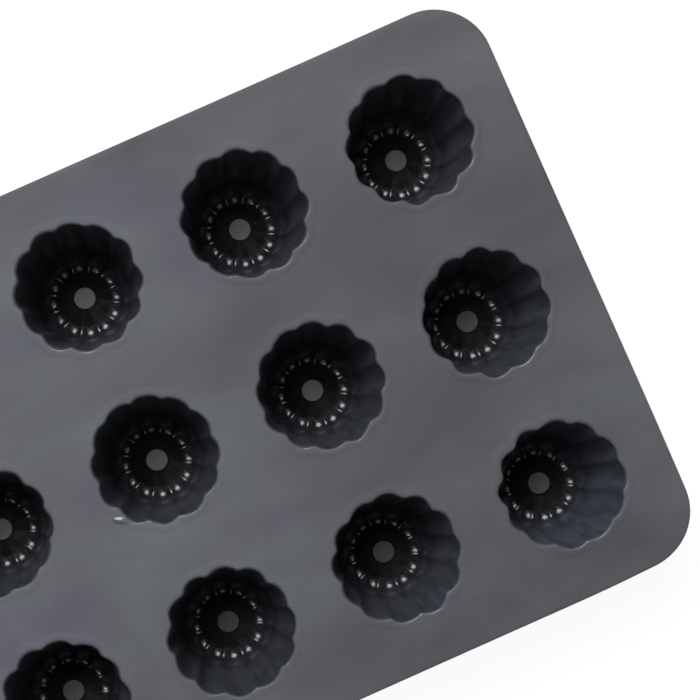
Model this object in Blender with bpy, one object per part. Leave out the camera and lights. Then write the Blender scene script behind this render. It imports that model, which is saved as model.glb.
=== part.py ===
"""Silicone mini canele mould: a flat sheet with three rows of five deep fluted cups.

Metres, +Z up. The origin lies under the middle cup, on the surface that the mould stands on,
and +X runs along the sheet. The real mould is cast in one piece. Here the sheet and each cup
are solids of their own, which meet face to face in the plane of the sheet's underside.
"""
import math

import bmesh
import bpy

MM = 0.001

# The grid of cups, and the flat sheet around their mouths
CUPS_ALONG = 5
CUPS_ACROSS = 3
WEB_ALONG = 15.5 * MM        # flat sheet between two mouths, along the length
WEB_ACROSS = 17.6 * MM       # flat sheet between two mouths, across the width
END_LAND = 14.0 * MM         # from the last mouths to the ends of the sheet
SIDE_LAND = 14.9 * MM        # from the last mouths to the long sides
CORNER_RADIUS = 18.0 * MM
SHEET_THICKNESS = 2.0 * MM
EDGE_BREAK = 0.4 * MM        # the sheet's edge is broken by this much above and below
LIP_BREAK = 0.8 * MM         # the mouth's edge is broken by this much

# One cup, inside
FLUTES = 12
MOUTH_RADIUS = 19.0 * MM     # to the bottom of a flute, in the plane of the sheet's top
FLUTE_DEPTH = 1.25 * MM      # from a ridge to the bottom of a flute, at the mouth
RIDGE_RADIUS = 2.0 * MM      # rounding of a ridge, at the mouth
BASE_RADIUS = 14.0 * MM      # where a flute would meet the floor without its fillet
CUP_DEPTH = 34.0 * MM        # from the sheet's top to the lowest part of the cup's floor
FLOOR_FILLET = 3.6 * MM      # at a ridge; it grows a little towards the bottom of a flute
CENTRE_RISE = 3.0 * MM       # from its round edge the floor climbs in a cone to the disc
BUTTON_RADIUS = 3.35 * MM    # the matt disc in the middle of the floor
BUTTON_RISE = 0.3 * MM

# One cup, outside
WALL = 1.8 * MM              # measured level, at every height of the wall
FLOOR_THICKNESS = 2.0 * MM

# How finely the round shapes are drawn
POINTS_PER_FLUTE = 4
FILLET_STEPS = 2
CORNER_STEPS = 8

# Places that follow from the sizes above
HALF_FLUTE = 2 * math.pi / FLUTES * 0.5
RIDGE_AT_MOUTH = MOUTH_RADIUS - FLUTE_DEPTH
TAPER_RATIO = BASE_RADIUS / MOUTH_RADIUS
PITCH_ALONG = 2 * MOUTH_RADIUS + WEB_ALONG
PITCH_ACROSS = 2 * MOUTH_RADIUS + WEB_ACROSS
HALF_LENGTH = (CUPS_ALONG - 1) * PITCH_ALONG / 2 + MOUTH_RADIUS + END_LAND
HALF_WIDTH = (CUPS_ACROSS - 1) * PITCH_ACROSS / 2 + MOUTH_RADIUS + SIDE_LAND
FLOOR_Z = FLOOR_THICKNESS
TOP_Z = FLOOR_Z + CUP_DEPTH
SPLIT_Z = TOP_Z - SHEET_THICKNESS


def clear_scene():
    for thing in list(bpy.data.objects):
        bpy.data.objects.remove(thing, do_unlink=True)


def linear(level):
    """Turn an sRGB level from 0 to 255 into the linear value that a shader takes."""
    share = level / 255
    return share / 12.92 if share <= 0.04045 else ((share + 0.055) / 1.055) ** 2.4


def silicone(name, red, green, blue, roughness):
    material = bpy.data.materials.new(name)
    material.use_nodes = True
    shader = material.node_tree.nodes["Principled BSDF"]
    shader.inputs["Base Color"].default_value = (linear(red), linear(green), linear(blue), 1)
    shader.inputs["Roughness"].default_value = roughness
    shader.inputs["Metallic"].default_value = 0
    return material


def mouth_outline(angle):
    """Radius of a mouth at an angle about the cup's axis, with a ridge at angle 0.

    Each flute is an arc that bulges outwards. A smaller arc rounds the ridge between two
    flutes, and the two run into each other in a tangent.
    """
    ridge_centre = RIDGE_AT_MOUTH + RIDGE_RADIUS
    reach = ridge_centre * math.cos(HALF_FLUTE)
    flute_arc = (MOUTH_RADIUS ** 2 + ridge_centre ** 2 - 2 * MOUTH_RADIUS * reach
                 - RIDGE_RADIUS ** 2) / (2 * (MOUTH_RADIUS + RIDGE_RADIUS - reach))
    flute_centre = MOUTH_RADIUS - flute_arc
    share = flute_arc / (flute_arc + RIDGE_RADIUS)
    meet_x = flute_centre + share * (reach - flute_centre)
    meet_y = share * ridge_centre * math.sin(HALF_FLUTE)
    from_ridge = angle % (2 * HALF_FLUTE)
    from_ridge = min(from_ridge, 2 * HALF_FLUTE - from_ridge)
    from_flute = HALF_FLUTE - from_ridge
    if from_flute <= math.atan2(meet_y, meet_x):
        side = flute_centre * math.sin(from_flute)
        return flute_centre * math.cos(from_flute) + math.sqrt(flute_arc ** 2 - side ** 2)
    side = ridge_centre * math.sin(from_ridge)
    return ridge_centre * math.cos(from_ridge) - math.sqrt(RIDGE_RADIUS ** 2 - side ** 2)


def wall_radius(angle, height):
    """Radius of the cavity's wall. The whole outline shrinks evenly from mouth to base."""
    share = (height - FLOOR_Z) / CUP_DEPTH
    return mouth_outline(angle) * (TAPER_RATIO + (1 - TAPER_RATIO) * share)


def taper(angle):
    """How far the wall leans out from upright."""
    return math.atan(mouth_outline(angle) * (1 - TAPER_RATIO) / CUP_DEPTH)


def fillet_reach(angle):
    """How far a fillet of radius 1 reaches in from the foot of the wall."""
    return math.tan(math.pi / 4 - taper(angle) / 2)


FLOOR_EDGE = wall_radius(0, FLOOR_Z) - FLOOR_FILLET * fillet_reach(0)


def fillet_point(angle, foot_radius, floor_height, step):
    """A point of the fillet from the round edge of the floor, at step 0, up to the wall."""
    radius = (foot_radius - FLOOR_EDGE) / fillet_reach(angle)
    turn = (math.pi / 2 - taper(angle)) * step / FILLET_STEPS
    return FLOOR_EDGE + radius * math.sin(turn), floor_height + radius * (1 - math.cos(turn))


def add_ring(bm, count, place, centre=(0, 0)):
    """A closed ring of points. place gives radius and height at an angle."""
    ring = []
    for index in range(count):
        angle = 2 * math.pi * index / count
        radius, height = place(angle)
        ring.append(bm.verts.new((centre[0] + radius * math.cos(angle),
                                  centre[1] + radius * math.sin(angle), height)))
    return ring


def join_rings(bm, first, second):
    """A band of faces between two rings. One may have half as many points as the other."""
    wide, narrow = (first, second) if len(first) >= len(second) else (second, first)
    if len(wide) == len(narrow):
        for index in range(len(wide)):
            after = (index + 1) % len(wide)
            bm.faces.new((wide[index], wide[after], narrow[after], narrow[index]))
        return
    for index in range(len(narrow)):
        after = (index + 1) % len(narrow)
        left, middle, right = (wide[(2 * index + k) % len(wide)] for k in range(3))
        bm.faces.new((left, middle, narrow[index]))
        bm.faces.new((middle, narrow[after], narrow[index]))
        bm.faces.new((middle, right, narrow[after]))


def finish_mesh(bm, name):
    bmesh.ops.recalc_face_normals(bm, faces=bm.faces)
    mesh = bpy.data.meshes.new(name)
    bm.to_mesh(mesh)
    bm.free()
    mesh.shade_smooth()
    mesh.set_sharp_from_angle(angle=math.radians(40))
    return mesh


def add_object(name, mesh, parent, location=(0, 0, 0)):
    thing = bpy.data.objects.new(name, mesh)
    thing.location = location
    thing.parent = parent
    bpy.context.scene.collection.objects.link(thing)
    return thing


def make_cup_mesh(matt, polished):
    """A cup about its own axis, standing on height 0, with its rim at the sheet's underside."""
    full = FLUTES * POINTS_PER_FLUTE
    half = full // 2
    quarter = half // 2

    def outer_foot(angle):
        return wall_radius(angle, 0) + WALL

    def inner_foot(angle):
        return wall_radius(angle, FLOOR_Z)

    bm = bmesh.new()
    outside = [
        add_ring(bm, half if step < FILLET_STEPS else full,
                 lambda a, s=step: fillet_point(a, outer_foot(a), 0, s))
        for step in range(FILLET_STEPS + 1)
    ]
    outside.append(add_ring(bm, full, lambda a: (wall_radius(a, SPLIT_Z) + WALL, SPLIT_Z)))
    inside = [add_ring(bm, full, lambda a: (wall_radius(a, SPLIT_Z), SPLIT_Z))]
    inside += [
        add_ring(bm, half if step < FILLET_STEPS else full,
                 lambda a, s=step: fillet_point(a, inner_foot(a), FLOOR_Z, s))
        for step in range(FILLET_STEPS, -1, -1)
    ]
    cone_top = FLOOR_Z + CENTRE_RISE
    button = [
        add_ring(bm, quarter, lambda a: (BUTTON_RADIUS, cone_top)),
        add_ring(bm, quarter, lambda a: (BUTTON_RADIUS, cone_top + BUTTON_RISE)),
    ]
    rings = outside + inside + button
    bm.faces.new(rings[0])
    for first, second in zip(rings, rings[1:]):
        join_rings(bm, first, second)
    bm.faces.new(rings[-1])

    # The cavity is polished, up to the button's foot. Everything else is matt.
    polished_points = {point for ring in inside + button[:1] for point in ring}
    for face in bm.faces:
        face.material_index = 1 if polished_points.issuperset(face.verts) else 0
    mesh = finish_mesh(bm, "cup")
    mesh.materials.append(matt)
    mesh.materials.append(polished)
    return mesh


def sheet_outline(inset):
    """Points round the sheet's edge: four corner arcs joined by straight sides."""
    radius = CORNER_RADIUS - inset
    points = []
    for corner, (sign_x, sign_y) in enumerate(((1, 1), (-1, 1), (-1, -1), (1, -1))):
        centre_x = sign_x * (HALF_LENGTH - CORNER_RADIUS)
        centre_y = sign_y * (HALF_WIDTH - CORNER_RADIUS)
        for step in range(CORNER_STEPS + 1):
            angle = math.pi / 2 * (corner + step / CORNER_STEPS)
            points.append((centre_x + radius * math.cos(angle),
                           centre_y + radius * math.sin(angle)))
    return points


def ring_edges(bm, ring):
    return [bm.edges.get((ring[index - 1], ring[index])) for index in range(len(ring))]


def make_sheet_mesh(matt, centres):
    """The flat sheet with a fluted hole above each cup."""
    levels = (
        (EDGE_BREAK, SPLIT_Z),
        (0, SPLIT_Z + EDGE_BREAK),
        (0, TOP_Z - EDGE_BREAK),
        (EDGE_BREAK, TOP_Z),
    )
    bm = bmesh.new()
    edge = [[bm.verts.new((x, y, height)) for x, y in sheet_outline(inset)]
            for inset, height in levels]
    for first, second in zip(edge, edge[1:]):
        join_rings(bm, first, second)
    below = ring_edges(bm, edge[0])
    above = ring_edges(bm, edge[-1])

    lip_z = TOP_Z - LIP_BREAK
    full = FLUTES * POINTS_PER_FLUTE
    for centre in centres:
        foot = add_ring(bm, full, lambda a: (wall_radius(a, SPLIT_Z), SPLIT_Z), centre)
        lip = add_ring(bm, full, lambda a: (wall_radius(a, lip_z), lip_z), centre)
        mouth = add_ring(bm, full, lambda a: (wall_radius(a, lip_z) + LIP_BREAK, TOP_Z), centre)
        join_rings(bm, foot, lip)
        join_rings(bm, lip, mouth)
        below += ring_edges(bm, foot)
        above += ring_edges(bm, mouth)
    for edges in (below, above):
        bmesh.ops.triangle_fill(bm, edges=edges, use_beauty=True, normal=(0, 0, 1))
    mesh = finish_mesh(bm, "sheet")
    mesh.materials.append(matt)
    return mesh


def main():
    clear_scene()
    matt = silicone("matt_silicone", 92, 92, 97, 0.6)
    polished = silicone("polished_silicone", 24, 24, 27, 0.2)
    mould = add_object("mould", None, None)

    rows = "abcdefghijklmnopqrstuvwxyz"
    centres = {}
    for row in range(CUPS_ACROSS):
        for column in range(CUPS_ALONG):
            centres[f"cup_{rows[row]}{column + 1}"] = (
                (column - (CUPS_ALONG - 1) / 2) * PITCH_ALONG,
                ((CUPS_ACROSS - 1) / 2 - row) * PITCH_ACROSS,
            )
    add_object("sheet", make_sheet_mesh(matt, centres.values()), mould)
    cup_mesh = make_cup_mesh(matt, polished)
    for name, (x, y) in centres.items():
        add_object(name, cup_mesh, mould, (x, y, 0))


main()
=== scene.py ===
# %% [markdown]
# # A silicone mini canele mould
#
# The object is a baking mould cast in one piece from black silicone: a flat sheet with rounded
# corners, and fifteen deep fluted cups that hang below it. This script is a lesson in dressing
# such a part. The imported model gives the sizes and places. Here each of its pieces gets a fine
# surface, a finish, and a studio that shows them.
#
# The first cell loads the imported model as a fixed frame and keeps its parts, whose boxes give
# the sizes and places.

import math

import bmesh
import bpy
import numpy as np
from mathutils import Matrix, Vector


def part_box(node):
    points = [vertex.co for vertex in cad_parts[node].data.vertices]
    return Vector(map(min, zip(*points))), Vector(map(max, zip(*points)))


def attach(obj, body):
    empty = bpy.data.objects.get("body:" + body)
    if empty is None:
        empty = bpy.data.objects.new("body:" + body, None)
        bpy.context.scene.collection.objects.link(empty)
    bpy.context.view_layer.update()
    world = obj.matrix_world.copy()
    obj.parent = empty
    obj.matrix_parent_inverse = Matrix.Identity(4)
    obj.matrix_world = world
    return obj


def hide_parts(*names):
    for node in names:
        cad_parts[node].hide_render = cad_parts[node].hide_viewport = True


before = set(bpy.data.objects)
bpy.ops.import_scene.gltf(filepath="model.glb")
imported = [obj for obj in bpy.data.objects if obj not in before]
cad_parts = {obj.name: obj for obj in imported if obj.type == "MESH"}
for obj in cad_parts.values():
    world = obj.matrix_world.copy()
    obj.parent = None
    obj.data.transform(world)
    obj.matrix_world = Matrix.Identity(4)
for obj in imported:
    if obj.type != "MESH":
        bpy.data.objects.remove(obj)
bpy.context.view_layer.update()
cup_names = sorted(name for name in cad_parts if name.startswith("cup_"))

# %% [markdown]
# ## Sizes
#
# Whatever the frame can tell is read from it: the sheet's outline, its two faces, the base of
# the cups, and each cup's axis. The shape between those places, such as the depth of a flute
# or the rounding of an edge, is written here once, in metres.

# %% Read the places from the frame
PLACE_DIGITS = 5

sheet_low, sheet_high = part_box("sheet")
TOP = sheet_high.z
UNDERSIDE = sheet_low.z
HALF_LENGTH = sheet_high.x
HALF_WIDTH = sheet_high.y

cup_centres = {}
for name in cup_names:
    low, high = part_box(name)
    cup_centres[name] = Vector(((low.x + high.x) / 2, (low.y + high.y) / 2, 0))
columns = sorted({round(centre.x, PLACE_DIGITS) for centre in cup_centres.values()})
rows = sorted({round(centre.y, PLACE_DIGITS) for centre in cup_centres.values()})
PITCH_ALONG = columns[1] - columns[0]
PITCH_ACROSS = rows[1] - rows[0]
print(f"sheet {2000 * HALF_LENGTH:.1f} x {2000 * HALF_WIDTH:.1f} mm,",
      f"pitches {1000 * PITCH_ALONG:.1f} and {1000 * PITCH_ACROSS:.1f} mm")

# %% Name the other sizes
CORNER_RADIUS = 0.018       # of the sheet's outline
EDGE_RADIUS = 0.0005        # rounds the sheet's edge, above and below
JOINT_FILLET = 0.0012       # where a cup's outside meets the sheet's underside

FLUTES = 12
MOUTH_RADIUS = 0.019        # to the bottom of a flute, in the plane of the sheet's top
FLUTE_DEPTH = 0.00115       # from a ridge to the bottom of a flute, at the mouth
RIDGE_RADIUS = 0.0024       # rounding of a ridge, at the mouth
BASE_RADIUS = 0.014         # where a flute would meet the floor without its fillet
WALL = 0.0018
FLOOR = 0.002               # thickness of the floor at its lowest ring

POCKET_RADIUS = 0.0096      # of the floor's lowest ring, where the pockets lie
POCKET_CURVE = 0.0032       # rounding of that ring's hollow on its inner side
RIDGE_LIFT = 0.00052        # how far a ridge's foot stands above the pockets
LIFT_SPREAD = 0.0037        # how far from the ring this lift reaches
CENTRE_RISE = 0.003         # from the lowest ring up to the disc
DISC_RADIUS = 0.00335
DISC_RISE = 0.0003

LIP_RADIUS = 0.001          # rounds the mouth's edge
BEAD_RISE = 0.00008         # how far the lip stands above the sheet
BEAD_WIDTH = 0.002
BEAD_ROUND = 0.6            # how much of the flutes is lost at the lip's outer side

POINTS_PER_FLUTE = 16
POINTS_AROUND = FLUTES * POINTS_PER_FLUTE
print(f"{FLUTES} flutes, {POINTS_AROUND} points round a cup,",
      f"{1000 * (TOP - FLOOR):.1f} mm deep")

# %% [markdown]
# ## Sums as nodes
#
# A geometry or shader tree is a sum written with boxes. Built by hand it takes a node for each
# plus and each times, which is hard to read in a script. This small helper wraps a node's
# output in a Value, so that an ordinary line of Python such as `radius * cos(angle)` adds the
# math nodes for it. The same helper serves the geometry trees and the materials.

# %% A helper that writes node trees as sums
class Value:
    """One output of a node, which plain Python operators can work on."""

    def __init__(self, builder, socket):
        self.builder = builder
        self.socket = socket

    def __add__(self, other):
        return self.builder.math("ADD", self, other)

    def __sub__(self, other):
        return self.builder.math("SUBTRACT", self, other)

    def __rsub__(self, other):
        return self.builder.math("SUBTRACT", other, self)

    def __mul__(self, other):
        return self.builder.math("MULTIPLY", self, other)

    def __truediv__(self, other):
        return self.builder.math("DIVIDE", self, other)

    def __rtruediv__(self, other):
        return self.builder.math("DIVIDE", other, self)

    __radd__ = __add__
    __rmul__ = __mul__


class Builder:
    """Adds nodes to one tree, and links what it is given to their inputs."""

    def __init__(self, tree):
        self.tree = tree

    def node(self, kind, inputs=None, **settings):
        made = self.tree.nodes.new(kind)
        for key, value in settings.items():
            setattr(made, key, value)
        for key, value in (inputs or {}).items():
            self.feed(made.inputs[key], value)
        return made

    def feed(self, socket, value):
        if isinstance(value, Value):
            value = value.socket
        if isinstance(value, bpy.types.NodeSocket):
            self.tree.links.new(value, socket)
        else:
            socket.default_value = value

    def value(self, kind, inputs=None, output=0, **settings):
        return Value(self, self.node(kind, inputs, **settings).outputs[output])

    def math(self, operation, *values):
        return self.value("ShaderNodeMath", dict(enumerate(values)), operation=operation)


def tidy_layout(tree):
    """Puts the nodes in columns, so that the tree can be read when it is opened."""
    for index, node in enumerate(tree.nodes):
        node.location = (200 * (index // 12), -160 * (index % 12))


print("helper ready: Value and Builder")

# %% [markdown]
# ## The profile of a cup
#
# On the real mould a cup is a body of revolution that has been fluted: from the flat it stands
# on, up the outside, over the lip and down the polished wall. At its foot each flute ends in a
# rounded pocket, as the crown of a canele has knobs. Inside this ring of pockets the floor
# climbs in a black cone to a small matt disc. So a cup starts as half a section, a chain of
# points with a radius and a height. Four more numbers ride on each point: how much of the
# flutes it takes, whether it lies on the circle or on the tile of sheet around the mouth, how
# far it is lifted where a ridge stands, and which finish the face after it wears. A spin tree
# then needs only these numbers.
#
# The cup and the tile are two chains. The cup's chain closes on the axis at both ends, and at
# the sheet's underside it steps through the wall. The tile's chain has the lip, and a low bead
# round it that lies a hair above the sheet.

# %% A chain of points
TAPER_RATIO = BASE_RADIUS / MOUTH_RADIUS
WALL_TILT = math.atan((MOUTH_RADIUS - BASE_RADIUS) / (TOP - FLOOR))
FILLET_REACH = math.tan(math.pi / 4 - WALL_TILT / 2)
MATT, POLISHED, DISC = range(3)


def wall_radius(height):
    """Radius of the cavity to the bottom of a flute."""
    share = (height - FLOOR) / (TOP - FLOOR)
    return MOUTH_RADIUS * (TAPER_RATIO + (1 - TAPER_RATIO) * share)


class Profile:
    """A chain of points, each with a radius, a height and the numbers that ride on it."""

    def __init__(self):
        self.points = []

    def add(self, radius, height, flute=0.0, tile=0.0, lift=0.0, finish=MATT):
        self.points.append(dict(radius=radius, height=height, flute=flute, tile=tile,
                                lift=lift, finish=finish))

    def as_object(self, name):
        mesh = bpy.data.meshes.new(name)
        corners = [(point["radius"], 0, point["height"]) for point in self.points]
        mesh.from_pydata(corners, [(i, i + 1) for i in range(len(corners) - 1)], [])
        for key in ("flute", "tile", "lift", "finish"):
            layer = mesh.attributes.new(key, "FLOAT", "POINT")
            layer.data.foreach_set("value", [float(point[key]) for point in self.points])
        thing = bpy.data.objects.new(name, mesh)
        bpy.context.scene.collection.objects.link(thing)
        return thing


print(f"a wall leans outwards by {math.degrees(WALL_TILT):.1f} degrees")

# %% The curves of the section
HOLLOW_STEPS = 6
LIP_STEPS = 10
QUARTERS = (0.25, 0.5, 0.75, 1)


def smooth_step(share):
    share = min(max(share, 0), 1)
    return share * share * (3 - 2 * share)


def foot_fillet(foot_radius, floor_height, steps):
    """From the floor's lowest ring up to the wall's foot: radius, height, share of the way."""
    radius = (foot_radius - POCKET_RADIUS) / FILLET_REACH
    for step in range(steps + 1):
        turn = (math.pi / 2 - WALL_TILT) * step / steps
        yield (POCKET_RADIUS + radius * math.sin(turn),
               floor_height + radius * (1 - math.cos(turn)), step / steps)


def centre_slope(edge):
    """From the floor's lowest ring round a hollow and up a straight cone, to the disc's edge."""
    inward = POCKET_RADIUS - edge
    above = CENTRE_RISE - POCKET_CURVE
    slope = math.atan2(above, inward) + math.asin(POCKET_CURVE / math.hypot(inward, above))
    for step in range(1, HOLLOW_STEPS + 1):
        turn = slope * step / HOLLOW_STEPS
        radius = POCKET_RADIUS - POCKET_CURVE * math.sin(turn)
        height = FLOOR + POCKET_CURVE * (1 - math.cos(turn))
        yield radius, height
    for share in QUARTERS:
        yield (radius + (edge - radius) * share,
               height + (FLOOR + CENTRE_RISE - height) * share)


def ridge_lift(distance):
    """How far a ridge stands above the pockets' ring, at a distance from it."""
    return RIDGE_LIFT * math.exp(-(distance / LIFT_SPREAD) ** 2)


def lip_points():
    """From the wall to the top of the bead, round the mouth's edge."""
    centre_radius = wall_radius(TOP - LIP_RADIUS) + LIP_RADIUS * math.cos(WALL_TILT)
    for step in range(LIP_STEPS + 1):
        turn = (math.pi / 2 - WALL_TILT) * (1 - step / LIP_STEPS)
        yield (centre_radius - LIP_RADIUS * math.sin(turn),
               TOP - LIP_RADIUS * (1 - math.cos(turn)))


print("a mouth is", round(2000 * next(lip_points())[0], 1), "mm wide at the foot of its lip")

# %% The cup's profile
BASE_RINGS = (0, 0.35, 0.8)
OUTER_STEPS, INNER_STEPS = 10, 14
JOINT_TURNS = (0.3, 0.6, 0.9, 1.2, math.pi / 2)
FLOOR_FLUTES = 0.5                      # share of the flutes that the lowest ring keeps
ARC_PER_WIDTH = 1.4                     # length of the inner fillet by its level width


def add_outside(profile):
    """From the middle of the base, round the foot and up the wall to the sheet's underside."""
    for share in BASE_RINGS:
        profile.add(share * POCKET_RADIUS, 0)
    outer_fillet = list(foot_fillet(wall_radius(0) + WALL, 0, OUTER_STEPS))
    for radius, height, way in outer_fillet:
        profile.add(radius, height, smooth_step(way))
    start = outer_fillet[-1][1]
    end = UNDERSIDE - JOINT_FILLET
    for share in QUARTERS:
        height = start + (end - start) * share
        profile.add(wall_radius(height) + WALL, height, 1)
    for turn in JOINT_TURNS:
        profile.add(wall_radius(end) + WALL + JOINT_FILLET * (1 - math.cos(turn)),
                    end + JOINT_FILLET * math.sin(turn), 1)


def add_cavity(profile):
    """Down the polished wall, through the lowest ring and up the cone to the disc's edge."""
    inner_fillet = list(foot_fillet(wall_radius(FLOOR), FLOOR, INNER_STEPS))
    start = inner_fillet[-1][1]
    for share in reversed(QUARTERS):
        height = start + (UNDERSIDE - start) * share
        profile.add(wall_radius(height), height, 1, finish=POLISHED)
    arc = ARC_PER_WIDTH * (inner_fillet[-1][0] - POCKET_RADIUS)
    for radius, height, way in reversed(inner_fillet):
        profile.add(radius, height, FLOOR_FLUTES + (1 - FLOOR_FLUTES) * smooth_step(way),
                    lift=ridge_lift(arc * way), finish=POLISHED)
    for radius, height in centre_slope(DISC_RADIUS + DISC_RISE / 3):
        inwards = POCKET_RADIUS - radius
        profile.add(radius, height, FLOOR_FLUTES * (1 - smooth_step(inwards / POCKET_CURVE)),
                    lift=ridge_lift(inwards), finish=POLISHED)


def add_disc(profile):
    """Up the disc's edge, which has a small bevel above and below, and in to the axis."""
    foot, bevel = FLOOR + CENTRE_RISE, DISC_RISE / 3
    profile.add(DISC_RADIUS, foot + bevel, finish=POLISHED)
    profile.add(DISC_RADIUS, foot + DISC_RISE - bevel, finish=DISC)
    profile.add(DISC_RADIUS - bevel, foot + DISC_RISE, finish=DISC)
    profile.add(DISC_RADIUS / 2, foot + DISC_RISE, finish=DISC)
    profile.add(0, foot + DISC_RISE)


cup_profile = Profile()
for add_part in (add_outside, add_cavity, add_disc):
    add_part(cup_profile)
print("cup profile:", len(cup_profile.points), "points")

# %% The profile of the tile round a mouth
POLISHED_LIP_STEPS = 9                  # the rest of the lip has the sheet's finish
BEAD_SHARES = (0.2, 0.4, 0.5, 0.6, 0.7, 0.8, 0.9, 1)
BEAD_FALL = 1.6                         # how steeply the bead falls to the sheet
UNDER_TILES = (1, 0.5, 0)               # how far each ring has slid out to the rectangle
UPPER_TILES = (0.08, 0.2, 0.4, 0.7, 1)


def make_mouth_profile():
    """The tile of sheet around one mouth, from its underside up through the hole."""
    profile = Profile()
    under = wall_radius(UNDERSIDE - JOINT_FILLET) + WALL + JOINT_FILLET
    for tile in UNDER_TILES:
        profile.add(under, UNDERSIDE, 1, tile)
    profile.add(wall_radius(UNDERSIDE), UNDERSIDE, 1, finish=POLISHED)
    lip = list(lip_points())
    for step, (radius, height) in enumerate(lip):
        profile.add(radius, height, 1, finish=POLISHED if step < POLISHED_LIP_STEPS else MATT)
    brow, _ = lip[-1]
    for share in BEAD_SHARES:
        fall = smooth_step(1 - BEAD_FALL * (1 - share))
        profile.add(brow + BEAD_WIDTH * share, TOP - BEAD_RISE * fall, 1 - BEAD_ROUND * share)
    for tile in UPPER_TILES:
        profile.add(brow + BEAD_WIDTH, TOP - BEAD_RISE, 1 - BEAD_ROUND, tile)
    return profile


mouth_profile = make_mouth_profile()
print("mouth profile:", len(mouth_profile.points), "points")

# %% [markdown]
# ## The outline of a mouth
#
# Each of the twelve flutes is an arc that bulges outwards, and a smaller arc rounds the ridge
# between two flutes. Both could be drawn by hand as curves. Here they are worked out by nodes
# from the depth of a flute and the rounding of a ridge, so that these two sizes stay free.
# The ping-pong node folds the whole circle onto half a flute, which is all that has to be
# worked out.

# %% The flute outline as nodes
def flute_share(b, angle, flutes, mouth_radius, flute_depth, ridge_radius):
    """Radius of the mouth at an angle, as a share of the radius to the bottom of a flute."""
    half = math.pi / flutes
    ridge_centre = mouth_radius - flute_depth + ridge_radius
    reach = ridge_centre * b.math("COSINE", half)
    top = (mouth_radius * mouth_radius + ridge_centre * ridge_centre
           - 2 * mouth_radius * reach - ridge_radius * ridge_radius)
    flute_arc = top / (2 * (mouth_radius + ridge_radius - reach))
    flute_centre = mouth_radius - flute_arc
    share = flute_arc / (flute_arc + ridge_radius)
    meet_x = flute_centre + share * (reach - flute_centre)
    meet_y = share * ridge_centre * b.math("SINE", half)
    meet = b.math("ARCTAN2", meet_y, meet_x)
    from_ridge = b.math("PINGPONG", angle, half)
    from_flute = half - from_ridge

    def arc(centre, turn, radius, side):
        """Where a ray at this turn meets an arc. side is 1 for its far face, -1 for its near."""
        off = centre * b.math("SINE", turn)
        inside = b.math("MAXIMUM", radius * radius - off * off, 0.0)
        return centre * b.math("COSINE", turn) + side * b.math("SQRT", inside)

    on_flute = arc(flute_centre, from_flute, flute_arc, 1)
    on_ridge = arc(ridge_centre, from_ridge, ridge_radius, -1)
    is_flute = b.math("LESS_THAN", from_flute, meet)
    return (on_ridge + is_flute * (on_flute - on_ridge)) / mouth_radius


print(f"each flute takes {360 / FLUTES:.0f} degrees of the circle")

# %% [markdown]
# ## Spinning a profile into flutes
#
# A Screw modifier could spin the section, but the flutes would then need a second step, and
# the fifteen mouths a third. One tree of Geometry Nodes does it all. It makes a grid whose
# columns go round the cup and whose rows follow the profile. It moves each point of the grid
# to its angle, with its radius pulled in where a ridge stands, and near the floor it lifts the
# ridges, so that a pocket is left between two of them. The angles crowd together at the
# ridges, which turn more sharply than the flutes. Points of a tile slide out from the circle
# to a rectangle, so that tiles laid side by side share their edge points. The tree then lays
# out the copies, makes them real, and welds what touches. It also stores each point's place
# relative to its cup's axis, for the materials.

# %% Reading and storing numbers on points
def of_profile(b, given, value, row, data_type="FLOAT"):
    """What the profile's point with this number has."""
    return b.value("GeometryNodeSampleIndex",
                   {"Geometry": given["Geometry"], "Value": value, "Index": row},
                   data_type=data_type, domain="POINT")


def named(b, key):
    return b.value("GeometryNodeInputNamedAttribute", {"Name": key}, data_type="FLOAT")


def store(b, geometry, key, value, domain="POINT", data_type="FLOAT"):
    return b.value("GeometryNodeStoreNamedAttribute",
                   {"Geometry": geometry, "Name": key, "Value": value},
                   data_type=data_type, domain=domain)


print("point helpers ready")

# %% Wrapping the grid round the axis
CROWDING = 0.6


def walk(b, turn, phase):
    """From -1 to 1 and back, as one walks round a rectangle at an even pace."""
    # A wave of straight slopes from 2 to -2, cut off where a side of the rectangle is
    wave = 2 - 8 * b.math("PINGPONG", turn - phase, 0.5)
    return b.math("MAXIMUM", b.math("MINIMUM", wave, 1.0), -1.0)


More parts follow.
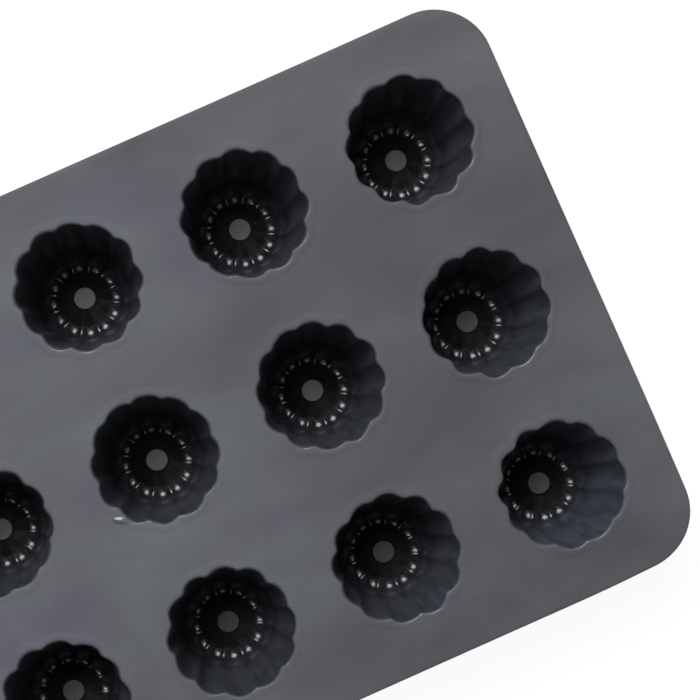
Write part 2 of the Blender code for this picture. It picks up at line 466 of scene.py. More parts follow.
def spun_profile(b, given):
    """The grid, wrapped round the axis. Its columns go round, and its rows up the profile."""
    steps = b.value("GeometryNodeAttributeDomainSize", {"Geometry": given["Geometry"]})
    grid = b.value("GeometryNodeMeshGrid",
                   {"Vertices X": given["Points Around"] + 1, "Vertices Y": steps})
    index = b.value("GeometryNodeInputIndex")
    column = b.math("FLOOR", (index + 0.5) / steps)
    row = index - column * steps
    turn = column / given["Points Around"]
    even = turn * math.tau
    angle = even - CROWDING * b.math("SINE", even * given["Flutes"]) / given["Flutes"]
    pulled = 1 - flute_share(b, angle, *(given[key] for key in (
        "Flutes", "Mouth Radius", "Flute Depth", "Ridge Radius")))

    place = of_profile(b, given, b.value("GeometryNodeInputPosition"), row, "FLOAT_VECTOR")
    split = b.node("ShaderNodeSeparateXYZ", {0: place})
    radius, height = Value(b, split.outputs["X"]), Value(b, split.outputs["Z"])
    flute, lift, tile = (of_profile(b, given, named(b, key), row)
                         for key in ("flute", "lift", "tile"))
    reach = radius * (1 - flute * pulled)
    height = height + lift * pulled * given["Mouth Radius"] / given["Flute Depth"]
    x, y = reach * b.math("COSINE", angle), reach * b.math("SINE", angle)
    x = x + tile * (walk(b, turn, 0.0) * given["Pitch Along"] / 2 - x)
    y = y + tile * (walk(b, turn, 0.25) * given["Pitch Across"] / 2 - y)
    spot = b.value("ShaderNodeCombineXYZ", {"X": x, "Y": y, "Z": height})
    spun = b.value("GeometryNodeSetPosition", {"Geometry": grid, "Position": spot})
    spun = store(b, spun, "step", row)
    return store(b, spun, "from_axis", b.value("GeometryNodeInputPosition"),
                 data_type="FLOAT_VECTOR")


print("a grid's angles crowd at the ridges by", CROWDING)

# %% Laying out the copies, and dressing them
WELD_DISTANCE = 1e-6


def laid_out(b, given, spun):
    """Copies of the spun profile in rows and columns, as one mesh."""
    layout = b.value("GeometryNodeMeshGrid", {
        "Size X": given["Pitch Along"] * (given["Copies Along"] - 1),
        "Size Y": given["Pitch Across"] * (given["Copies Across"] - 1),
        "Vertices X": given["Copies Along"], "Vertices Y": given["Copies Across"]})
    copies = b.value("GeometryNodeInstanceOnPoints", {"Points": layout, "Instance": spun})
    return b.value("GeometryNodeRealizeInstances", {"Geometry": copies})


def dressed(b, given, solid):
    """The mesh, welded where its points touch, with each face in its finish."""
    # A face's step is the mean of its corners', half way between two points of the profile
    row = b.math("FLOOR", named(b, "step"))
    finish = of_profile(b, given, named(b, "finish"), row)
    solid = store(b, solid, "face_finish", finish, domain="FACE")
    solid = b.value("GeometryNodeMergeByDistance",
                    {"Geometry": solid, "Distance": WELD_DISTANCE})
    solid = b.value("GeometryNodeSetShadeSmooth", {"Geometry": solid})
    solid = b.value("GeometryNodeSetMaterial", {"Geometry": solid, "Material": given["Matt"]})
    for number, key in ((POLISHED, "Polished"), (DISC, "Disc")):
        chosen = b.math("COMPARE", named(b, "face_finish"), float(number), 0.1)
        solid = b.value("GeometryNodeSetMaterial", {
            "Geometry": solid, "Selection": chosen, "Material": given[key]})
    return solid


print(f"points within {1e6 * WELD_DISTANCE:.0f} micrometre are welded")

# %% The whole tree
SOCKETS = (
    ("Geometry", "Geometry"), ("Flutes", "Int"), ("Mouth Radius", "Float"),
    ("Flute Depth", "Float"), ("Ridge Radius", "Float"), ("Points Around", "Int"),
    ("Copies Along", "Int"), ("Copies Across", "Int"), ("Pitch Along", "Float"),
    ("Pitch Across", "Float"), ("Matt", "Material"), ("Polished", "Material"),
    ("Disc", "Material"),
)


def make_spin_tree():
    tree = bpy.data.node_groups.new("fluted_spin", "GeometryNodeTree")
    for name, kind in SOCKETS:
        tree.interface.new_socket(name, in_out="INPUT", socket_type="NodeSocket" + kind)
    tree.interface.new_socket("Geometry", in_out="OUTPUT", socket_type="NodeSocketGeometry")
    b = Builder(tree)
    sockets = b.node("NodeGroupInput").outputs
    given = {name: Value(b, sockets[name]) for name, _ in SOCKETS}
    solid = dressed(b, given, laid_out(b, given, spun_profile(b, given)))
    b.node("NodeGroupOutput", {"Geometry": solid})
    tidy_layout(tree)
    return tree


spin_tree = make_spin_tree()
print("spin tree:", len(spin_tree.nodes), "nodes")

# %% [markdown]
# ## Finishes
#
# The whole mould is one black silicone, but it has two kinds of surface. The outside, the
# sheet and the floor's disc came off a blasted tool: they are a matt grey, with a fine grain
# and soft clouds where release oil and handling have changed the gloss. The cavities came off
# a polished tool, so that cakes let go: they are nearly black and shine. A finish could be one
# flat colour with one roughness, but then a large plain sheet looks like paper. Here noise of
# several sizes works on the colour, the roughness and the bump. All of it reads the object's
# own coordinates, in metres, or the place relative to a cup's axis that the spin tree stored.

# %% Helpers for finishes
SILICONE_IOR = 1.41


def new_finish(name):
    finish = bpy.data.materials.new(name)
    finish.use_nodes = True
    finish.node_tree.nodes.clear()
    return finish, Builder(finish.node_tree)


def place_of(b):
    return b.value("ShaderNodeTexCoord", output="Object")


def noise(b, place, scale, detail=3.0, distortion=0.0):
    """A cloud from 0 to 1. The scale is the number of clouds in a metre."""
    return b.value("ShaderNodeTexNoise", {
        "Vector": place, "Scale": scale, "Detail": detail, "Distortion": distortion},
        output="Fac")


def stretch(b, value, low, high, start=0.0, end=1.0):
    """Maps low..high of a value to start..end, with a soft turn at both."""
    return b.value("ShaderNodeMapRange", {
        "Value": value, "From Min": low, "From Max": high, "To Min": start, "To Max": end},
        interpolation_type="SMOOTHSTEP")


def mix(b, share, first, second):
    """Blends two colours. A mix node has a set of sockets for each kind of data."""
    node = b.node("ShaderNodeMix", {0: share}, data_type="RGBA")
    for socket, colour in ((node.inputs[6], first), (node.inputs[7], second)):
        b.feed(socket, colour if isinstance(colour, Value) else (*colour, 1.0))
    return Value(b, node.outputs[2])


def shaded(b, colour, shade):
    """The colour times the shade, a number round 1."""
    return b.value("ShaderNodeVectorMath", {0: colour, "Scale": shade}, operation="SCALE")


def bump(b, height, distance, under=None):
    """Tilts the normal by a height from 0 to 1 that stands for a distance, in metres."""
    inputs = {"Height": height, "Strength": 1.0, "Distance": distance}
    if under:
        inputs["Normal"] = under
    return b.value("ShaderNodeBump", inputs)


def close_finish(b, colour, roughness, normal):
    shader = b.node("ShaderNodeBsdfPrincipled", {
        "Base Color": colour, "Roughness": roughness, "Normal": normal, "IOR": SILICONE_IOR})
    b.node("ShaderNodeOutputMaterial", {"Surface": shader.outputs[0]})
    tidy_layout(b.tree)


print("finish helpers ready, index of refraction", SILICONE_IOR)

# %% [markdown]
# ### Matt silicone
#
# The sheet's grey isn't even. It lies in soft bands that run along the mould, now a little blue,
# now green, now brown. Their paler and darker grey is painted light and shade of the sheet's
# waviness. A ramp along the mould paints light that falls off from left to right, so that the
# left half is paler. The sheet is paler towards its two ends, and a painted shade darkens its back
# edge. Within that lie smaller clouds and a fine grain. Noise does the bands, and ramps on the
# place do the rest. Each noise of the bands is read at a place of its own, chosen so that the
# bands lie much as they do on the real sheet.
#
# By the middle cup, the sheet has a small smooth crease at the lip, which catches the light. A
# bump makes it, because it is too small to be worth its own shape.
#
# The discs wear the same silicone, painted darker than the sheet as shade at the bottom of a cup,
# and without the bands. A very wide noise paints each disc a grey of its own, as shade for how
# much lamp light reaches it down its cup.

# %% What the matt finishes are made of
NOISE_LOW, NOISE_HIGH = 0.3, 0.7
GRAIN_SCALE, GRAIN_HEIGHT, GRAIN_ROUGHNESS = 2600.0, 0.000018, 0.05
PIT_SCALE, PIT_HEIGHT = 150.0, 0.00004
BLASTED_ROUGHNESS = (0.50, 0.62)
CREASE_PLACE = (-0.0166, -0.01245, TOP)
CREASE_TURN = math.radians(-30)
CREASE_SIZE = (0.0032, 0.0013, 0.01)
CREASE_HEIGHT = 0.00031


def tone(b, cloud, start, end):
    """Maps the range in which most of a noise lies to start..end."""
    return stretch(b, cloud, NOISE_LOW, NOISE_HIGH, start, end)


def blasted(b, place, clouds, grain, under=None):
    """The roughness and the normal of a surface that came off a blasted tool."""
    roughness = stretch(b, clouds, 0.25, 0.75, *BLASTED_ROUGHNESS) + GRAIN_ROUGHNESS * grain
    pitted = bump(b, noise(b, place, PIT_SCALE), PIT_HEIGHT, under)
    return roughness, bump(b, grain, GRAIN_HEIGHT, pitted)


def crease_at(b, place):
    """How high the crease is and how smooth it is, each as a share from 0 to 1."""
    local = b.value("ShaderNodeMapping", {
        "Vector": place, "Location": CREASE_PLACE, "Rotation": (0, 0, CREASE_TURN),
        "Scale": CREASE_SIZE}, vector_type="TEXTURE")
    distance = b.value("ShaderNodeVectorMath", {0: local}, output="Value", operation="LENGTH")
    return stretch(b, distance, 0.0, 1.0, 1.0, 0.0), stretch(b, distance, 0.7, 1.1, 1.0, 0.0)


print(f"crease: {1000 * CREASE_HEIGHT:.2f} mm high, {2000 * CREASE_SIZE[0]:.1f} mm long")

# %% The sheet's finish
COOL_GREY, WARM_GREY = (0.0924, 0.0931, 0.1139), (0.0973, 0.0884, 0.1020)
GREEN_GREY, GREEN_SHARE = (0.0905, 0.0969, 0.1030), 0.85
BAND_STRETCH = (0.45, 1.0, 1.0)
BAND_SHADE_PLACE, BAND_SHADE_SCALE = (0.94, 0.32, 1.8), 27.0
TINT_PLACE, TINT_SCALE = (1.84, 2.32, 0.69), 19.0
CLOUD_SCALE = 60.0
SWELL_SCALE, SWELL_HEIGHT = 17.0, 0.0007
END_REACH, END_SHADE = 0.022, 1.14
LEFT_FROM, LEFT_TO, LEFT_SHADE = -0.060, -0.030, 1.2
BACK_REACH, BACK_SHADE = 0.018, 0.92
SHEET_CREASE_GLOSS = 0.85


def banded(b, place, start):
    """The place squashed along the mould, so that a noise on it lies in bands."""
    return b.value("ShaderNodeMapping", {
        "Vector": place, "Location": start, "Scale": BAND_STRETCH})


def paler_ends_and_painted_light(b, along, across):
    """Paler towards its ends, with painted light on its left half and painted shade at its back.
    """
    ends = stretch(b, b.math("ABSOLUTE", along), HALF_LENGTH - END_REACH, HALF_LENGTH,
                   1.0, END_SHADE)
    # A painted light pales the left half of the sheet
    left = stretch(b, along, LEFT_FROM, LEFT_TO, LEFT_SHADE, 1.0)
    # A painted shade darkens the sheet along its back edge
    back = stretch(b, across, HALF_WIDTH - BACK_REACH, HALF_WIDTH, 1.0, BACK_SHADE)
    return ends * left * back


def make_sheet_finish(name):
    finish, b = new_finish(name)
    place = place_of(b)
    axes = b.node("ShaderNodeSeparateXYZ", {0: place}).outputs
    along, across = Value(b, axes["X"]), Value(b, axes["Y"])
    # Bands of paler and darker grey: painted light and shade of the sheet's waviness, with a faint
    # green tint
    band_shade_and_tint = noise(b, banded(b, place, BAND_SHADE_PLACE), BAND_SHADE_SCALE, distortion=0.4)
    # The ramp along the mould is painted light: through the tint's shade it pales the left and
    # darkens the right
    tint = (noise(b, banded(b, place, TINT_PLACE), TINT_SCALE, 2.0)
            + stretch(b, along, -0.04, 0.12, -0.18, 0.18))
    clouds = noise(b, place, CLOUD_SCALE, 4.0, distortion=0.6)
    grain = noise(b, place, GRAIN_SCALE, 2.0)
    colour = mix(b, stretch(b, tint, 0.35, 0.65), COOL_GREY, WARM_GREY)
    colour = mix(b, stretch(b, band_shade_and_tint, 0.4, 0.6, 0.0, GREEN_SHARE), colour, GREEN_GREY)
    shade = (tone(b, band_shade_and_tint, 0.79, 1.17) * tone(b, clouds, 0.93, 1.06)
             * tone(b, grain, 0.97, 1.03) * stretch(b, tint, 0.2, 0.8, 1.18, 0.90)
             * paler_ends_and_painted_light(b, along, across))
    swell = bump(b, noise(b, place, SWELL_SCALE, 2.0), SWELL_HEIGHT)
    roughness, normal = blasted(b, place, clouds, grain, swell)
    crease, smoothed = crease_at(b, place)
    close_finish(b, shaded(b, colour, shade), roughness * (1 - SHEET_CREASE_GLOSS * smoothed),
                 bump(b, crease, CREASE_HEIGHT, normal))
    return finish


matt = make_sheet_finish("matt_silicone")
print("finish:", matt.name)

# %% The discs' finish
# Darker than the sheet's grey: painted shade at the bottom of a cup
DISC_GREY = (0.047, 0.050, 0.053)
DISC_SHADE_PLACE, DISC_SHADE_SCALE = (1.4, 2.73, 0.02), 9.0
DISC_CLOUD_SCALE = 160.0


def make_disc_finish(name):
    finish, b = new_finish(name)
    place = place_of(b)
    moved = b.value("ShaderNodeMapping", {"Vector": place, "Location": DISC_SHADE_PLACE})
    # A very wide noise paints shade, darker in some cups than in others
    disc_shade = noise(b, moved, DISC_SHADE_SCALE, 1.0)
    clouds = noise(b, place, DISC_CLOUD_SCALE, distortion=0.6)
    grain = noise(b, place, GRAIN_SCALE, 2.0)
    shade = tone(b, disc_shade, 0.45, 1.5) * tone(b, clouds, 0.94, 1.06) * tone(b, grain, 0.97, 1.03)
    close_finish(b, shaded(b, DISC_GREY, shade), *blasted(b, place, clouds, grain))
    return finish


disc = make_disc_finish("disc_silicone")
print("finish:", disc.name)

# %% [markdown]
# ### Polished silicone
#
# The cavity's gloss isn't even. The floor is the glossiest part, and it is painted near-black, far
# darker than the wall: painted shade at the bottom of the cup. The wall is duller, because cakes
# are drawn out along it, and drawing leaves faint streaks up and down in its grey. They come from
# a noise that is stretched along the height. A painted light makes the walls greyer and bluer
# towards the front right corner of the mould. The lip has the sheet's grey again, with a shine
# that breaks into glints, because it is never quite even. What goes by the radius or the height
# reads the place relative to the cup's axis, so that it stays put where the sheet sags. The
# sheet's crease goes on over the lip, a little less smooth, and ends where the wall starts.

# %% The cavities' colour
FLOOR_BLACK, FLOOR_PALER = (0.0060, 0.0063, 0.0076), (0.0100, 0.0106, 0.0128)
WALL_GREY, CORNER_LIT_GREY = (0.058, 0.0635, 0.076), (0.084, 0.093, 0.118)
LIP_GREY = (0.089, 0.091, 0.103)
WALL_FROM, WALL_TO = 0.0102, 0.0172
CORNER_FROM, CORNER_TO = 0.10, 0.17
STREAK_LEAST = 0.6


def polished_colour(b, place, clouds, streaks, on_wall, at_lip):
    axes = b.node("ShaderNodeSeparateXYZ", {0: place}).outputs
    towards_corner = b.math("SUBTRACT", axes["X"], axes["Y"])
    # The floor's near-black against the wall's grey is painted shade at the bottom of the cup
    black = mix(b, tone(b, clouds, 0.0, 1.0), FLOOR_BLACK, FLOOR_PALER)
    # Greyer and bluer walls towards the front right corner are painted light
    grey = mix(b, stretch(b, towards_corner, CORNER_FROM, CORNER_TO), WALL_GREY, CORNER_LIT_GREY)
    wall = mix(b, on_wall * tone(b, streaks, STREAK_LEAST, 1.0), black, grey)
    return mix(b, at_lip, wall, LIP_GREY)


print(f"the wall's grey starts {1000 * WALL_FROM:.1f} mm from a cup's axis")

# %% The cavities' gloss, and their whole finish
STREAK_SQUASH, STREAK_SCALE = (1.0, 1.0, 0.09), 420.0
POLISHED_CLOUD_SCALE = 120.0
LIP_FROM, LIP_TO = TOP - 0.0003, TOP - 0.00005
FLOOR_ROUGHNESS, WALL_ROUGHER = 0.17, 0.21
STREAK_ROUGHER, CLOUD_ROUGHER = 0.04, 0.03
GLOSS_SCALE, LIP_GLOSS, LIP_DULL = 130.0, 0.13, -0.12
LIP_CREASE_GLOSS = 0.6
RIPPLE_SCALE, WALL_RIPPLE, LIP_RIPPLE = 220.0, 0.00003, 0.00022
FINE_SCALE, FINE_HEIGHT = 900.0, 0.0000015


def polished_roughness(b, place, clouds, streaks, on_wall, at_lip):
    gloss = stretch(b, noise(b, place, GLOSS_SCALE, 2.0), 0.42, 0.62, LIP_GLOSS, LIP_DULL)
    return (FLOOR_ROUGHNESS + stretch(b, streaks, 0.35, 0.7, 0.0, STREAK_ROUGHER)
            + stretch(b, clouds, 0.4, 0.8, 0.0, CLOUD_ROUGHER) + WALL_ROUGHER * on_wall
            - gloss * at_lip)


def make_cavity_finish(name):
    finish, b = new_finish(name)
    place = place_of(b)
    local = b.value("ShaderNodeAttribute", output="Vector", attribute_name="from_axis")
    split = b.node("ShaderNodeSeparateXYZ", {0: local}).outputs
    x, y, height = (Value(b, split[axis]) for axis in "XYZ")
    on_wall = stretch(b, b.math("SQRT", x * x + y * y), WALL_FROM, WALL_TO)
    at_lip = stretch(b, height, LIP_FROM, LIP_TO)
    squashed = b.value("ShaderNodeMapping", {"Vector": local, "Scale": STREAK_SQUASH})
    streaks = noise(b, squashed, STREAK_SCALE)
    clouds = noise(b, place, POLISHED_CLOUD_SCALE, distortion=0.4)
    colour = polished_colour(b, place, clouds, streaks, on_wall, at_lip)
    roughness = polished_roughness(b, place, clouds, streaks, on_wall, at_lip)
    crease, smoothed = crease_at(b, place)
    normal = bump(b, noise(b, place, RIPPLE_SCALE, 2.0), LIP_RIPPLE * at_lip + WALL_RIPPLE)
    normal = bump(b, noise(b, place, FINE_SCALE, 2.0), FINE_HEIGHT, normal)
    normal = bump(b, crease, CREASE_HEIGHT * at_lip, normal)
    close_finish(b, colour, roughness * (1 - LIP_CREASE_GLOSS * smoothed), normal)
    return finish


polished = make_cavity_finish("cup_silicone")
print("finish:", polished.name)

# %% [markdown]
# ## Running the tree
#
# A tree is run by a modifier, whose inputs are set by each socket's identifier. The result is
# then copied to a plain mesh and the modifier goes, so that what is left is an ordinary piece.
# Recalculating the normals makes sure that the spun skin isn't inside out. Sharp edges are
# marked by their angle, which keeps the gloss of the round parts even.

# %% Run the spin tree on a profile
SHARP_ANGLE = math.radians(42)


def spin(profile, name, copies_along, copies_across):
    """Runs the spin tree on a profile and returns the result as a plain mesh."""
    carrier = profile.as_object(name)
    wanted = {
        "Flutes": FLUTES, "Mouth Radius": MOUTH_RADIUS, "Flute Depth": FLUTE_DEPTH,
        "Ridge Radius": RIDGE_RADIUS, "Points Around": POINTS_AROUND,
        "Copies Along": copies_along, "Copies Across": copies_across,
        "Pitch Along": PITCH_ALONG, "Pitch Across": PITCH_ACROSS,
        "Matt": matt, "Polished": polished, "Disc": disc}
    modifier = carrier.modifiers.new("fluted_spin", "NODES")
    modifier.node_group = spin_tree
    for item in spin_tree.interface.items_tree:
        if item.in_out == "INPUT" and item.name in wanted:
            modifier[item.identifier] = wanted[item.name]
    graph = bpy.context.evaluated_depsgraph_get()
    mesh = bpy.data.meshes.new_from_object(carrier.evaluated_get(graph))
    bpy.data.objects.remove(carrier)
    return mesh


def point_outwards(mesh):
    """Turns the faces outwards, marks sharp edges, and returns the open edges and the volume."""
    shell = bmesh.new()
    shell.from_mesh(mesh)
    bmesh.ops.recalc_face_normals(shell, faces=shell.faces)
    open_edges = sum(len(edge.link_faces) != 2 for edge in shell.edges)
    volume = shell.calc_volume(signed=True)
    shell.to_mesh(mesh)
    shell.free()
    mesh.set_sharp_from_angle(angle=SHARP_ANGLE)
    return open_edges, volume


cup_mesh = spin(cup_profile, "cup_profile", 1, 1)
tile_mesh = spin(mouth_profile, "mouth_profile", len(columns), len(rows))
open_edges, volume = point_outwards(cup_mesh)
print(f"cup: {len(cup_mesh.polygons)} faces, {open_edges} open edges, {1e6 * volume:.2f} ml")
print(f"tiles: {len(tile_mesh.polygons)} faces")

# %% [markdown]
# ## The border of the sheet
#
# The fifteen tiles make a plain rectangle with two open edges, one on top and one underneath.
# The real sheet goes on to a rounded outline with a slightly softened edge. Each point of the
# upper opening is pushed straight outwards, ring by ring, round the edge and back in below,
# where the last ring is sewn to the lower opening. The outline's corners have their centres
# inside the rectangle, so every point has a clear way out: straight away from the nearest
# point of the rectangle that joins these four centres.

# %% The rings of the border
DECK = TOP - BEAD_RISE
FLAT_SHARES = (0.4, 0.8)
UPPER_TURNS = (0, 0.4, 0.8, 1.2, math.pi / 2)
LOWER_TURNS = (0, 0.5, 1.0, math.pi / 2)
TINY = 1e-9


def way_out(points):
    """Nearest place on the inner rectangle, and the direction from there, for each point."""
    limit = np.array((HALF_LENGTH - CORNER_RADIUS, HALF_WIDTH - CORNER_RADIUS))
    core = np.clip(points[:, :2], -limit, limit)
    out = points[:, :2] - core
    length = np.linalg.norm(out, axis=1)
    return core, out / np.maximum(length, TINY)[:, None], length


def border_rings():
    """Each ring from the top to the underside: how far out, how high, and its share of the way."""
    flat = CORNER_RADIUS - EDGE_RADIUS
    for share in FLAT_SHARES:
        yield flat, DECK, share
    for turn in UPPER_TURNS:
        yield flat + EDGE_RADIUS * math.sin(turn), DECK - EDGE_RADIUS * (1 - math.cos(turn)), 1
    for turn in LOWER_TURNS:
        yield (flat + EDGE_RADIUS * math.cos(turn),
               UNDERSIDE + EDGE_RADIUS * (1 - math.sin(turn)), 1)


print(len(list(border_rings())), "rings in the border")

# %% Grow the border
SAME_LEVEL = 1e-5


def loops_of(shell):
    """The two open loops, each in order round the sheet, starting at the same corner."""
    found = []
    for level in (DECK, UNDERSIDE):
        points = [vertex for vertex in shell.verts
                  if vertex.is_boundary and abs(vertex.co.z - level) < SAME_LEVEL]
        points.sort(key=lambda vertex: math.atan2(vertex.co.y, vertex.co.x))
        found.append(points)
    return found


def sew(shell, first, second, slot):
    """Joins two loops of equal length with a band of faces."""
    for here in range(len(first)):
        there = (here + 1) % len(first)
        face = shell.faces.new((first[here], first[there], second[there], second[here]))
        face.material_index = slot
        face.smooth = True


def grow_border(mesh):
    """Adds the border to the tiles, and returns how many points its outline has."""
    shell = bmesh.new()
    shell.from_mesh(mesh)
    upper, lower = loops_of(shell)
    slot = mesh.materials.find(matt.name)
    core, out, length = way_out(np.array([vertex.co for vertex in upper]))
    ring = upper
    for reach, height, share in border_rings():
        goal = core + out * (length + share * (reach - length))[:, None]
        grown = [shell.verts.new((x, y, height)) for x, y in goal]
        sew(shell, ring, grown, slot)
        ring = grown
    sew(shell, ring, lower, slot)
    shell.to_mesh(mesh)
    shell.free()
    return len(upper)


edge_points = grow_border(tile_mesh)
open_edges, volume = point_outwards(tile_mesh)
print(f"sheet: {edge_points} points round the edge, {open_edges} open edges,",
      f"{1e6 * volume:.2f} ml, {len(tile_mesh.polygons)} faces")

# %% [markdown]
# ## Letting the silicone relax
#
# Nothing made of soft silicone is quite flat or quite round. The sheet sags a little between
# the cups that carry it, its free border droops, and one long edge hangs inwards near its right
# end. The mouths are wavy by a few tenths of a millimetre, so that no two flutes are quite
# alike. A simulation of the bending would give the same shapes slowly. A small smooth function
# of the place does it at once, and because the sheet and the cups are moved by the same
# function, they stay together where they meet. The movement fades to nothing at the base, where
# the cups stand, and at the border it only goes inwards, so the model stays inside the frame's
# box.
#
# Each table below holds waves: how fast one turns along and across, where it starts, and how
# high it is.

# %% How the silicone gives way
SAG = 0.00028               # of the sheet between the cups, at most
DROOP = 0.0007              # of the border
PULL = 0.0006               # of the border inwards, where it hangs
WAVE = 0.00016              # of the mouths
BORDER_REACH = 0.017
SWELL_MEAN, SWELLS = 0.5, ((31, 14, 0.6, 0.25), (-17, 23, 2.1, 0.25))
LOOSE_MEAN, LOOSENESS = 0.45, ((38, 0, -1.2, 0.25), (0, 47, 0.5, 0.2))
WAVES_ALONG = ((610, -260, 1.1, 1), (340, 520, 0.3, 1))
WAVES_ACROSS = ((-310, 560, 2.4, 1), (400, 480, 4.0, 1))
HANG_PLACE, HANG_SIZE = (0.127, -HALF_WIDTH), (0.015, 0.03)
HANG_DROOP, LOOSE_PULL = 0.8, 0.1


def waves(x, y, table):
    return sum(high * np.sin(along * x + across * y + start)
               for along, across, start, high in table)


def relaxed(points):
    """The points, moved as the silicone gives way at each of them."""
    x, y, z = points.T
    _, out, length = way_out(points)
    edge = np.clip(1 - (CORNER_RADIUS - length) / BORDER_REACH, 0, 1)
    edge = edge * edge * (3 - 2 * edge)
    swell = SWELL_MEAN + waves(x, y, SWELLS)
    loose = LOOSE_MEAN + waves(x, y, LOOSENESS)
    hang = np.exp(-((x - HANG_PLACE[0]) / HANG_SIZE[0]) ** 2
                  - ((y - HANG_PLACE[1]) / HANG_SIZE[1]) ** 2)
    height = (z / TOP) ** 2
    wavy = WAVE * height * (1 - edge)
    moved = points.copy()
    moved[:, 0] += wavy * waves(x, y, WAVES_ALONG)
    moved[:, 1] += wavy * waves(x, y, WAVES_ACROSS)
    moved[:, 2] -= height * (SAG * swell * (1 - edge)
                             + edge * DROOP * (loose + HANG_DROOP * hang))
    moved[:, :2] -= out * (height * edge * PULL * (LOOSE_PULL * loose + hang))[:, None]
    return moved


loosest = LOOSE_MEAN + sum(high for *_, high in LOOSENESS) + HANG_DROOP
print(f"sag up to {1000 * SAG:.2f} mm, droop never over {1000 * DROOP * loosest:.2f} mm")

# %% Relax the sheet
def points_of(mesh):
    points = np.empty(3 * len(mesh.vertices))
    mesh.vertices.foreach_get("co", points)
    return points.reshape(-1, 3)


def put_points(mesh, points):
    mesh.vertices.foreach_set("co", points.ravel())
    mesh.update()


def relax(mesh):
    """Moves a mesh by the same function as all others, and returns the largest move."""
    points = points_of(mesh)
    moved = relaxed(points)
    put_points(mesh, moved)
    return float(np.abs(moved - points).max())


def add_piece(name, mesh):
    piece = bpy.data.objects.new(name, mesh)
    bpy.context.scene.collection.objects.link(piece)
    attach(piece, "root")
    return piece


sheet = add_piece("sheet_skin", tile_mesh)
print(f"sheet relaxed by up to {1000 * relax(tile_mesh):.2f} mm")
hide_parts("sheet")

# %% [markdown]
# ## The cups
#
# All the cups are the same casting, so each starts as a copy of one spun mesh, moved to its
# own axis. Their thin walls then lean by one to four millimetres, because nothing but the sheet
# holds them: all of them a little one way, as when the mould has been slid to its place, the
# outer ones with their feet drawn in, as the drooping border turns them, and each a little in
# its own way. How far they lean was fitted together with the camera's place, which can't be
# told apart from it in a view from above. The lean grows from the sheet down, and the base
# stays flat on the floor.

# %% Place the cups
SLIDE = np.array((-0.0024, 0.0003))
DRAWN_IN = 0.0105
LEAN_LIMIT, LEAN_SEED = 0.0002, 7

draw = np.random.default_rng(LEAN_SEED)
leans = []
for name in cup_names:
    mesh = cup_mesh.copy()
    mesh.name = name + "_skin"
    mesh.transform(Matrix.Translation(cup_centres[name]))
    points = points_of(mesh)
    lean = SLIDE - DRAWN_IN * np.array(cup_centres[name].xy) + draw.uniform(-1, 1, 2) * LEAN_LIMIT
    points[:, :2] += lean * (1 - points[:, 2:] / UNDERSIDE).clip(0, 1)
    put_points(mesh, points)
    relax(mesh)
    cup = add_piece(name + "_skin", mesh)
    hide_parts(name)
    leans.append(1000 * np.linalg.norm(lean))
print(len(cup_names), f"cups placed, leaning by {min(leans):.1f} to {max(leans):.1f} mm")

# %% [markdown]
# ## The floor
#
# The photograph has a pure white ground. The floor is a large pale sheet a hair below the cups'
# bases, so that no two faces share a plane. Part of what the camera sees of it glows, so that it
# is white without more light on the object, and the rest is painted, so that it keeps the
# object's shadow. Far out, where no lamp reaches, all of it glows, so that no edge shows against
# the world.

# %% Floor
FLOOR_HEIGHT = -0.00005
FLOOR_HALF = 2.5
FLOOR_PAINT = (0.86, 0.86, 0.86, 1)
WHITE = (1, 1, 1, 1)
GLOW_STRENGTH, GLOW_SHARE = 1.05, 0.9
SHADOW_REACH, GLOW_REACH = 0.5, 1.3


def is_seen(b):
    """1 where the camera sees a thing, itself or in a reflection, and 0 where it only lights."""
    path = b.node("ShaderNodeLightPath").outputs
    return b.math("MAXIMUM", path["Is Camera Ray"],
                  b.math("MAXIMUM", path["Is Glossy Ray"], path["Is Transmission Ray"]))


def make_floor_paint():
    paint, b = new_finish("floor_white")
    plain = b.node("ShaderNodeBsdfDiffuse", {"Color": FLOOR_PAINT})
    glow = b.node("ShaderNodeEmission", {"Color": WHITE, "Strength": GLOW_STRENGTH})
    distance = b.value("ShaderNodeVectorMath", {0: place_of(b)}, output="Value",
                       operation="LENGTH")
    share = stretch(b, distance, SHADOW_REACH, GLOW_REACH, GLOW_SHARE, 1.0)
    blend = b.node("ShaderNodeMixShader", {
        0: is_seen(b) * share, 1: plain.outputs[0], 2: glow.outputs[0]})
    b.node("ShaderNodeOutputMaterial", {"Surface": blend.outputs[0]})
    tidy_layout(b.tree)
    return paint


def make_floor():
    mesh = bpy.data.meshes.new("floor")
    sides = ((-1, -1), (1, -1), (1, 1), (-1, 1))
    corners = [(x * FLOOR_HALF, y * FLOOR_HALF, FLOOR_HEIGHT) for x, y in sides]
    mesh.from_pydata(corners, [], [(0, 1, 2, 3)])
    mesh.materials.append(make_floor_paint())
    thing = bpy.data.objects.new("floor", mesh)
    bpy.context.scene.collection.objects.link(thing)
    return thing


floor = make_floor()
print("floor:", tuple(round(side, 1) for side in floor.dimensions))

# %% [markdown]
# ## The camera
#
# The photograph looks straight down at one end of the mould, which is turned by about 24
# degrees. The discs lie far below the mouths, and their offsets tell that the camera hung over
# the mould's middle and that the picture is one corner of what it saw. A camera does this with
# a shifted lens. The shift also moves every other view, so only part of it is used here. This
# camera hangs nearer to the middle of what it sees, and the cups' lean makes up for the
# difference. The place, the direction and the focal length were fitted to the outline and to
# the centres of the mouths and the discs.

# %% Camera
SENSOR_WIDTH = 36
NEAREST = 0.01
VIEW_FROM = Vector((0.04382, -0.01108, 0.55418))
VIEW_ALONG = Vector((0.0046, -0.00238, -0.99999)).normalized()
VIEW_UP = Vector((0.40631, 0.91374, -0.00031)).normalized()
FOCAL_LENGTH = 90.38
LENS_SHIFT = (0.05, 0.12)


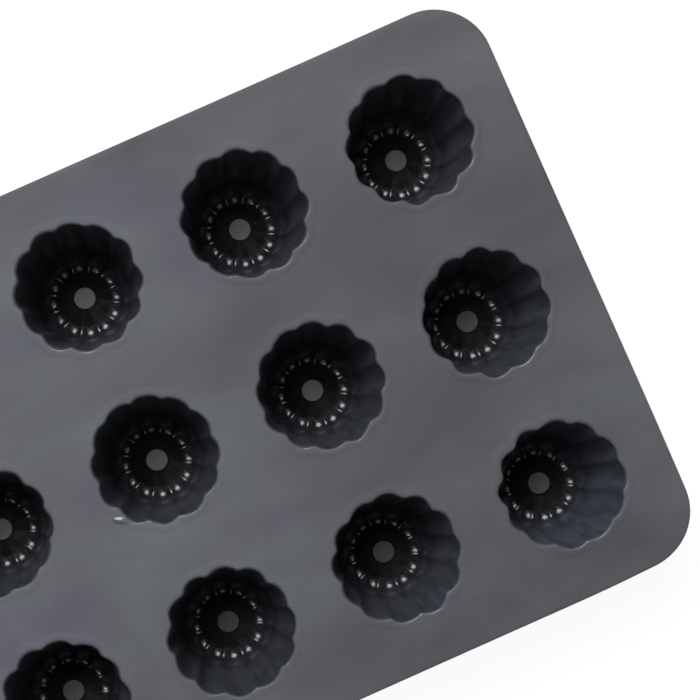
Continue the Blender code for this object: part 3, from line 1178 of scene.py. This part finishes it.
def make_camera():
    """Makes the camera, and returns the directions of its picture's right and its up."""
    lens = bpy.data.cameras.new("camera")
    lens.lens = FOCAL_LENGTH
    lens.shift_x, lens.shift_y = LENS_SHIFT
    lens.sensor_width = SENSOR_WIDTH
    lens.clip_start = NEAREST
    camera = bpy.data.objects.new("camera", lens)
    bpy.context.scene.collection.objects.link(camera)
    right = VIEW_ALONG.cross(VIEW_UP).normalized()
    up = right.cross(VIEW_ALONG)
    turned = Matrix((right, up, -VIEW_ALONG)).transposed()
    camera.matrix_world = Matrix.Translation(VIEW_FROM) @ turned.to_4x4()
    bpy.context.scene.camera = camera
    return right, up


view_right, view_up = make_camera()
print("camera at", tuple(round(value, 3) for value in VIEW_FROM))

# %% [markdown]
# ## The light
#
# The dots in the pockets are small mirror images of the lamps, so they tell where the light
# was. Those at the bottom right of each cup are bright: they see past the far lip to a strong
# light beyond the top left of the picture. Those at the top left are dim and wide: their own
# side of the cup hides that light, and they show only a weak one overhead. Each lamp is a
# round soft one that is aimed at the middle of the view. Its strength is given as the
# brightness of its face, because that is what a glossy surface shows.

# %% Lamps
AIM = Vector((0.066, 0.006, TOP))


def add_softbox(name, bearing, from_overhead, distance, width, brightness, tint=(1, 1, 1)):
    """A round soft light. The bearing is in degrees, anticlockwise from the picture's right."""
    bearing, tilt = math.radians(bearing), math.radians(from_overhead)
    flat = (view_right * math.cos(bearing) + view_up * math.sin(bearing)) * Vector((1, 1, 0))
    flat.normalize()
    towards = flat * math.sin(tilt) + Vector((0, 0, math.cos(tilt)))
    lamp = bpy.data.lights.new(name, "AREA")
    lamp.shape = "DISK"
    lamp.size = width
    lamp.color = tint
    face = math.pi * width * width / 4
    lamp.energy = brightness * math.pi * face
    thing = bpy.data.objects.new(name, lamp)
    thing.location = AIM + distance * towards
    thing.rotation_euler = towards.to_track_quat("Z", "Y").to_euler()
    bpy.context.scene.collection.objects.link(thing)
    return lamp.energy


power = add_softbox("key_light", bearing=118, from_overhead=30, distance=2.4, width=1.2,
                    brightness=15.0, tint=(0.97, 0.985, 1.0))
power += add_softbox("overhead_light", bearing=118, from_overhead=5, distance=0.9, width=0.5,
                     brightness=1.1)
print(f"lamps: {power:.1f} W in all")

# %% [markdown]
# ### The world
#
# Only its lowest part is ever seen by the camera, in views from the side. There it is white,
# as a pale studio is, and above it is dim. Where nothing sees it, it lights the object far
# less than it shows, or it would reach into the shaded side of each cup.

# %% World
HORIZON, HAZE_TOP, DIM = 0.18, 0.5, 0.06
UNSEEN_SHARE = 0.2


def make_world():
    world = bpy.data.worlds.new("studio")
    world.use_nodes = True
    world.node_tree.nodes.clear()
    b = Builder(world.node_tree)
    direction = b.value("ShaderNodeTexCoord", output="Generated")
    rise = Value(b, b.node("ShaderNodeSeparateXYZ", {0: direction}).outputs["Z"])
    haze = stretch(b, rise, HORIZON, HAZE_TOP, 1.0 - DIM, 0.0)
    brightness = DIM + haze * (UNSEEN_SHARE + (1 - UNSEEN_SHARE) * is_seen(b))
    glow = b.node("ShaderNodeBackground", {"Color": WHITE, "Strength": brightness})
    b.node("ShaderNodeOutputWorld", {"Surface": glow.outputs[0]})
    tidy_layout(world.node_tree)
    bpy.context.scene.world = world


make_world()
bpy.context.scene.view_settings.view_transform = "Standard"
print("world and view ready")
